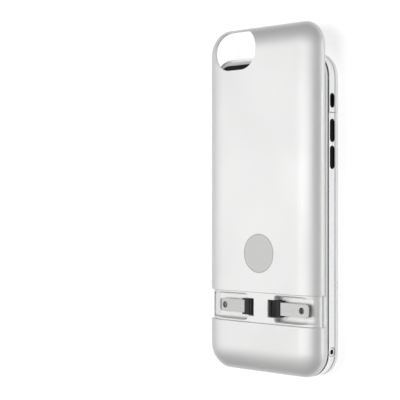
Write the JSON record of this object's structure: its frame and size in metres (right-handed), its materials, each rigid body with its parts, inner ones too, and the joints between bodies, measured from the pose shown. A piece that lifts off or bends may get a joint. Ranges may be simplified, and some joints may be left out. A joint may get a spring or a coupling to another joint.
{
  "type": "battery charging case",
  "caption": "Phone battery case whose back cover slides up to bare a folding mains plug, with side keys, a lift-off top cap, a camera window and a dock plug in the chin.",
  "frame": {"origin": "middle of the underside of the box round the case as it lies face down, with its back cover slid up", "axes": "+X across the case towards the volume keys, +Y along it towards the camera end, +Z from the front rim up to the back"},
  "size_m": [0.0726, 0.1694, 0.017],
  "materials": {
    "white_plastic": "glossy white moulding",
    "silver_band": "bright silver",
    "grey_plastic": "fine matt",
    "black_rubber": "matt",
    "black_plastic": "satin",
    "badge_grey": "satin",
    "nickel_brass": "nickel plated",
    "steel": "plain",
    "clear_plastic": "clear moulding",
    "board_green": "lacquered board",
    "cell_foil": "matt foil",
    "ferrite": "dull"
  },
  "bodies": {
    "base": {"battery_cell": "cell_foil", "board_screws": "steel", "camera_trim": "black_plastic", "capacitors": "cell_foil", "case_screws": "steel", "charge_board": "board_green", "charge_lights": "clear_plastic", "charge_switch": "black_plastic", "contact_clips": "nickel_brass", "control_board": "board_green", "cradle": "grey_plastic", "dock_plug": "steel", "front_bezel": "white_plastic", "hinge_pins": "steel", "housing": "white_plastic", "light_pipes": "clear_plastic", "lower_shell": "white_plastic", "mains_board": "board_green", "plug_tray": "white_plastic", "rim_gasket": "black_rubber", "side_band": "silver_band", "sound_meshes": "steel", "transformer": "ferrite", "usb_socket": "steel"},
    "back_cover": {"back_cover": "white_plastic", "badge_disc": "badge_grey"},
    "right_plug": {"right_blade": "nickel_brass", "right_hub": "black_plastic"},
    "left_plug": {"left_blade": "nickel_brass", "left_hub": "black_plastic"},
    "top_cap": {"top_cap_bezel": "white_plastic", "top_cap_band": "silver_band", "mute_grommet": "black_rubber"},
    "volume_up": {"volume_up_key": "black_rubber"},
    "volume_down": {"volume_down_key": "black_rubber"},
    "power": {"power_key": "black_rubber"},
    "charge_button": {"charge_button": "white_plastic", "charge_button_lens": "black_plastic"}
  },
  "joints": [
    {"name": "cover_slide", "type": "slide", "parent": "base", "child": "back_cover", "axis": [0, 1, 0], "range_m": [-0.0145, 0]},
    {"name": "right_blade_fold", "type": "hinge", "parent": "base", "child": "right_plug", "pos_m": [0.0077, -0.05295, 0.0122], "axis": [0, -1, 0], "range_deg": [0, 90]},
    {"name": "left_blade_fold", "type": "hinge", "parent": "base", "child": "left_plug", "pos_m": [-0.0077, -0.05295, 0.0122], "axis": [0, 1, 0], "range_deg": [0, 90]},
    {"name": "top_cap_pull", "type": "slide", "parent": "base", "child": "top_cap", "axis": [0, 1, 0], "range_m": [0, 0.045]},
    {"name": "volume_up_press", "type": "slide", "parent": "base", "child": "volume_up", "axis": [-1, 0, 0], "range_m": [0, 0.0005], "stiffness_N_per_m": 1500},
    {"name": "volume_down_press", "type": "slide", "parent": "base", "child": "volume_down", "axis": [-1, 0, 0], "range_m": [0, 0.0005], "stiffness_N_per_m": 1500},
    {"name": "power_press", "type": "slide", "parent": "base", "child": "power", "axis": [1, 0, 0], "range_m": [0, 0.0005], "stiffness_N_per_m": 1500},
    {"name": "charge_press", "type": "slide", "parent": "base", "child": "charge_button", "axis": [-1, 0, 0], "range_m": [0, 0.0004], "stiffness_N_per_m": 1500}
  ]
}
